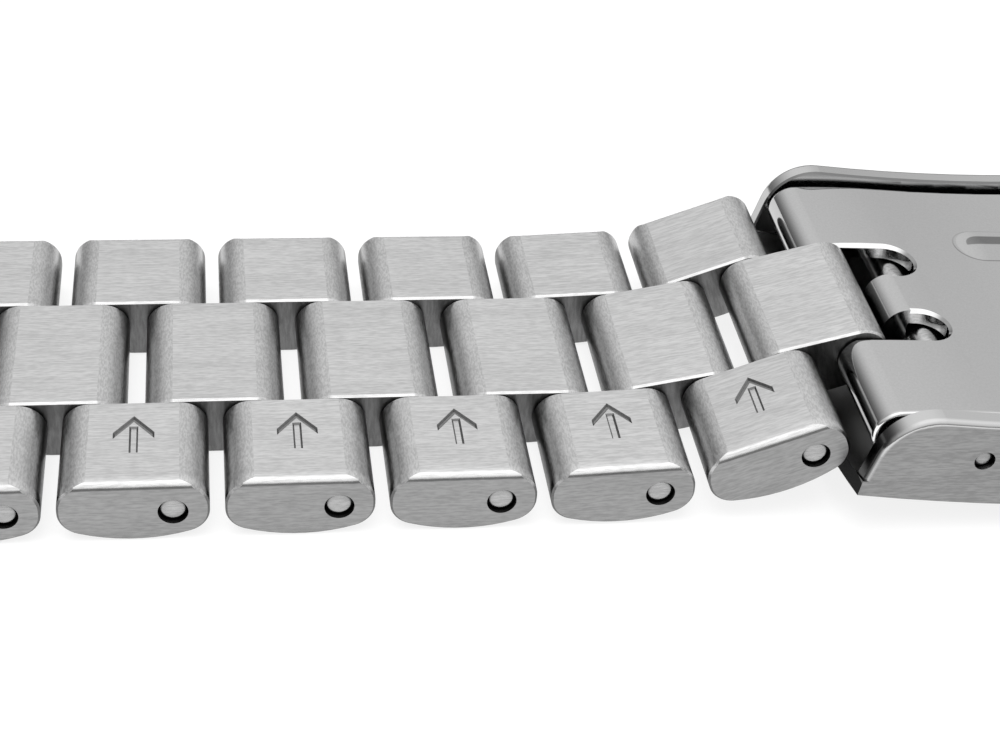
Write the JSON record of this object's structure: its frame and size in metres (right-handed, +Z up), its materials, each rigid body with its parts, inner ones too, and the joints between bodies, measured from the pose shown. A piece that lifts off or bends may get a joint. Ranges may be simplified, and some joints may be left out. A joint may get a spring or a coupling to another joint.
{
  "type": "link watch bracelet",
  "caption": "Steel three-row link watch bracelet with pinned links, solid end links and a folding push-button clasp.",
  "frame": {"origin": "centre of the bracelet's footprint, on the table under the clasp side of the middle", "axes": "+X along the bracelet from the longer strand through the clasp to the shorter strand, +Y across it, +Z up, the wrist side"},
  "size_m": [0.126, 0.0238, 0.0065],
  "materials": {
    "outer_link_steel": "satin brushed along the bracelet",
    "centre_link_steel": "satin brushed along the bracelet",
    "cover_steel": "brushed with polished rims",
    "polished_steel": "mirror polished",
    "blade_steel": "fine satin",
    "button_steel": "brushed",
    "pin_steel": "turned, polished ends",
    "spring_wire": "bright drawn wire"
  },
  "bodies": {
    "clasp_cover": {"clasp_cover": "cover_steel", "cover_hinge_pin": "pin_steel", "cover_spring_bar": "pin_steel", "button_springs": "spring_wire"},
    "near_push_button": {"near_push_button": "button_steel"},
    "far_push_button": {"far_push_button": "button_steel"},
    "middle_blade": {"middle_blade": "blade_steel"},
    "inner_blade": {"inner_blade": "polished_steel", "blade_hinge_pin": "pin_steel", "blade_spring_bar": "pin_steel"},
    "left_clasp_link": {"left_clasp_link": "centre_link_steel"},
    "left_1_outer_links": {"left_1_outer_link_arrowed": "outer_link_steel", "left_1_outer_link_plain": "outer_link_steel", "left_1_pins": "pin_steel"},
    "left_1_centre_link": {"left_1_centre_link": "centre_link_steel"},
    "left_2_outer_links": {"left_2_outer_link_arrowed": "outer_link_steel", "left_2_outer_link_plain": "outer_link_steel", "left_2_pins": "pin_steel"},
    "left_2_centre_link": {"left_2_centre_link": "centre_link_steel"},
    "left_3_outer_links": {"left_3_outer_link_arrowed": "outer_link_steel", "left_3_outer_link_plain": "outer_link_steel", "left_3_pins": "pin_steel"},
    "left_3_centre_link": {"left_3_centre_link": "centre_link_steel"},
    "left_4_outer_links": {"left_4_outer_link_arrowed": "outer_link_steel", "left_4_outer_link_plain": "outer_link_steel", "left_4_pins": "pin_steel"},
    "left_4_centre_link": {"left_4_centre_link": "centre_link_steel"},
    "left_5_outer_links": {"left_5_outer_link_arrowed": "outer_link_steel", "left_5_outer_link_plain": "outer_link_steel", "left_5_pins": "pin_steel"},
    "left_5_centre_link": {"left_5_centre_link": "centre_link_steel"},
    "left_6_outer_links": {"left_6_outer_link_arrowed": "outer_link_steel", "left_6_outer_link_plain": "outer_link_steel", "left_6_pins": "pin_steel"},
    "left_6_centre_link": {"left_6_centre_link": "centre_link_steel"},
    "left_end_link": {"left_end_link": "outer_link_steel", "left_end_link_pin": "pin_steel", "left_case_spring_bar": "pin_steel"},
    "right_clasp_link": {"right_clasp_link": "centre_link_steel"},
    "right_1_outer_links": {"right_1_outer_link_arrowed": "outer_link_steel", "right_1_outer_link_plain": "outer_link_steel", "right_1_pins": "pin_steel"},
    "right_1_centre_link": {"right_1_centre_link": "centre_link_steel"},
    "right_2_outer_links": {"right_2_outer_link_arrowed": "outer_link_steel", "right_2_outer_link_plain": "outer_link_steel", "right_2_pins": "pin_steel"},
    "right_2_centre_link": {"right_2_centre_link": "centre_link_steel"},
    "right_3_outer_links": {"right_3_outer_link_arrowed": "outer_link_steel", "right_3_outer_link_plain": "outer_link_steel", "right_3_pins": "pin_steel"},
    "right_3_centre_link": {"right_3_centre_link": "centre_link_steel"},
    "right_4_outer_links": {"right_4_outer_link_arrowed": "outer_link_steel", "right_4_outer_link_plain": "outer_link_steel", "right_4_pins": "pin_steel"},
    "right_4_centre_link": {"right_4_centre_link": "centre_link_steel"},
    "right_end_link": {"right_end_link": "outer_link_steel", "right_end_link_pin": "pin_steel", "right_case_spring_bar": "pin_steel"}
  },
  "joints": [
    {"name": "cover_hinge", "type": "hinge", "parent": "clasp_cover", "child": "middle_blade", "pos_m": [-0.00199, 0, 0.00413], "axis": [0, -1, 0], "range_deg": [0, 170]},
    {"name": "blade_hinge", "type": "hinge", "parent": "middle_blade", "child": "inner_blade", "pos_m": [0.01366, 0, 0.00476], "axis": [0, -1, 0], "range_deg": [-170, 0]},
    {"name": "left_clasp_link_hinge", "type": "hinge", "parent": "inner_blade", "child": "left_clasp_link", "pos_m": [-0.00572, 0, 0.00469], "axis": [0, 1, 0], "range_deg": [0, 45]},
    {"name": "left_1_outer_links_hinge", "type": "hinge", "parent": "left_clasp_link", "child": "left_1_outer_links", "pos_m": [-0.00945, 0, 0.00368], "axis": [0, 1, 0], "range_deg": [-1.86, 24.14]},
    {"name": "left_1_centre_link_hinge", "type": "hinge", "parent": "left_1_outer_links", "child": "left_1_centre_link", "pos_m": [-0.01261, 0, 0.00244], "axis": [0, 1, 0], "range_deg": [-18.4, 7.6]},
    {"name": "left_2_outer_links_hinge", "type": "hinge", "parent": "left_1_centre_link", "child": "left_2_outer_links", "pos_m": [-0.0164, 0, 0.00171], "axis": [0, 1, 0], "range_deg": [-16.13, 9.87]},
    {"name": "left_2_centre_link_hinge", "type": "hinge", "parent": "left_2_outer_links", "child": "left_2_centre_link", "pos_m": [-0.0198, 0, 0.00155], "axis": [0, 1, 0], "range_deg": [-10.77, 15.23]},
    {"name": "left_3_outer_links_hinge", "type": "hinge", "parent": "left_2_centre_link", "child": "left_3_outer_links", "pos_m": [-0.02366, 0, 0.00155], "axis": [0, 1, 0], "range_deg": [-8, 18]},
    {"name": "left_3_centre_link_hinge", "type": "hinge", "parent": "left_3_outer_links", "child": "left_3_centre_link", "pos_m": [-0.02706, 0, 0.00155], "axis": [0, 1, 0], "range_deg": [-8, 18]},
    {"name": "left_4_outer_links_hinge", "type": "hinge", "parent": "left_3_centre_link", "child": "left_4_outer_links", "pos_m": [-0.03092, 0, 0.00155], "axis": [0, 1, 0], "range_deg": [-8, 18]},
    {"name": "left_4_centre_link_hinge", "type": "hinge", "parent": "left_4_outer_links", "child": "left_4_centre_link", "pos_m": [-0.03432, 0, 0.00155], "axis": [0, 1, 0], "range_deg": [-8, 18]},
    {"name": "left_5_outer_links_hinge", "type": "hinge", "parent": "left_4_centre_link", "child": "left_5_outer_links", "pos_m": [-0.03818, 0, 0.00155], "axis": [0, 1, 0], "range_deg": [-8, 18]},
    {"name": "left_5_centre_link_hinge", "type": "hinge", "parent": "left_5_outer_links", "child": "left_5_centre_link", "pos_m": [-0.04158, 0, 0.00155], "axis": [0, 1, 0], "range_deg": [-8, 18]},
    {"name": "left_6_outer_links_hinge", "type": "hinge", "parent": "left_5_centre_link", "child": "left_6_outer_links", "pos_m": [-0.04544, 0, 0.00155], "axis": [0, 1, 0], "range_deg": [-8, 18]},
    {"name": "left_6_centre_link_hinge", "type": "hinge", "parent": "left_6_outer_links", "child": "left_6_centre_link", "pos_m": [-0.04884, 0, 0.00155], "axis": [0, 1, 0], "range_deg": [-8, 18]},
    {"name": "left_end_link_hinge", "type": "hinge", "parent": "left_6_centre_link", "child": "left_end_link", "pos_m": [-0.0527, 0, 0.00155], "axis": [0, 1, 0], "range_deg": [-8, 18]},
    {"name": "right_clasp_link_hinge", "type": "hinge", "parent": "clasp_cover", "child": "right_clasp_link", "pos_m": [0.02024, 0, 0.00469], "axis": [0, -1, 0], "range_deg": [0, 45]},
    {"name": "right_1_outer_links_hinge", "type": "hinge", "parent": "right_clasp_link", "child": "right_1_outer_links", "pos_m": [0.02397, 0, 0.00368], "axis": [0, -1, 0], "range_deg": [-1.86, 24.14]},
    {"name": "right_1_centre_link_hinge", "type": "hinge", "parent": "right_1_outer_links", "child": "right_1_centre_link", "pos_m": [0.02713, 0, 0.00244], "axis": [0, -1, 0], "range_deg": [-18.4, 7.6]},
    {"name": "right_2_outer_links_hinge", "type": "hinge", "parent": "right_1_centre_link", "child": "right_2_outer_links", "pos_m": [0.03092, 0, 0.00171], "axis": [0, -1, 0], "range_deg": [-16.13, 9.87]},
    {"name": "right_2_centre_link_hinge", "type": "hinge", "parent": "right_2_outer_links", "child": "right_2_centre_link", "pos_m": [0.03432, 0, 0.00155], "axis": [0, -1, 0], "range_deg": [-10.77, 15.23]},
    {"name": "right_3_outer_links_hinge", "type": "hinge", "parent": "right_2_centre_link", "child": "right_3_outer_links", "pos_m": [0.03818, 0, 0.00155], "axis": [0, -1, 0], "range_deg": [-8, 18]},
    {"name": "right_3_centre_link_hinge", "type": "hinge", "parent": "right_3_outer_links", "child": "right_3_centre_link", "pos_m": [0.04158, 0, 0.00155], "axis": [0, -1, 0], "range_deg": [-8, 18]},
    {"name": "right_4_outer_links_hinge", "type": "hinge", "parent": "right_3_centre_link", "child": "right_4_outer_links", "pos_m": [0.04544, 0, 0.00155], "axis": [0, -1, 0], "range_deg": [-8, 18]},
    {"name": "right_4_centre_link_hinge", "type": "hinge", "parent": "right_4_outer_links", "child": "right_4_centre_link", "pos_m": [0.04884, 0, 0.00155], "axis": [0, -1, 0], "range_deg": [-8, 18]},
    {"name": "right_end_link_hinge", "type": "hinge", "parent": "right_4_centre_link", "child": "right_end_link", "pos_m": [0.0527, 0, 0.00155], "axis": [0, -1, 0], "range_deg": [-8, 18]},
    {"name": "near_push_button_slide", "type": "slide", "parent": "clasp_cover", "child": "near_push_button", "axis": [0, 1, 0], "range_m": [0, 0.0006], "stiffness_N_per_m": 1200, "springref_m": -0.0003, "deforming": ["button_springs"]},
    {"name": "far_push_button_slide", "type": "slide", "parent": "clasp_cover", "child": "far_push_button", "axis": [0, -1, 0], "range_m": [0, 0.0006], "stiffness_N_per_m": 1200, "springref_m": -0.0003}
  ],
  "couplings": [
    {"joint": "blade_hinge", "follows": "cover_hinge", "ratio": -1}
  ]
}
